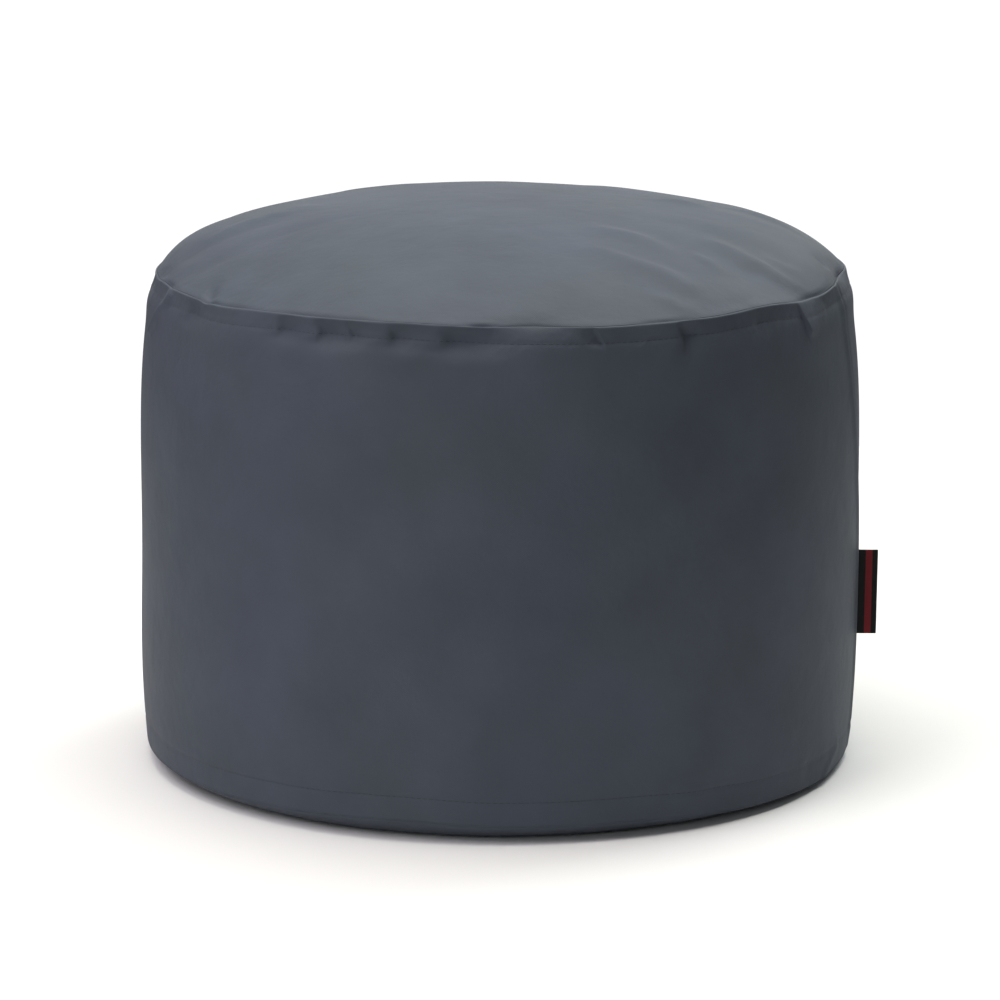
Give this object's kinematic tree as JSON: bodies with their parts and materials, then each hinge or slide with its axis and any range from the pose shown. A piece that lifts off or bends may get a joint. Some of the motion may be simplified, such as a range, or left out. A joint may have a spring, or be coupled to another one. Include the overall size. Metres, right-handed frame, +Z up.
{
  "type": "bean bag footstool",
  "caption": "Soft round footstool: a filled cloth drum with a domed top, drawn-in shoulders, sewn seams and a small folded side label.",
  "frame": {"origin": "middle of the flat face that rests on the floor", "axes": "+Z up along the drum's upright middle, +X toward the side with the label, the picture's front faces -Y"},
  "size_m": [0.5145, 0.5005, 0.3904],
  "materials": {
    "cloth_side": "tightly woven charcoal cloth with a soft coated sheen",
    "cloth_top": "tightly woven charcoal cloth with a soft coated sheen",
    "cloth_base": "tightly woven charcoal cloth, a little duller under the stool",
    "ribbon": "black woven ribbon with a plain woven line"
  },
  "bodies": {
    "root": {"side_panel": "cloth_side", "top_panel": "cloth_top", "base_panel": "cloth_base", "label": "ribbon"}
  },
  "joints": []
}
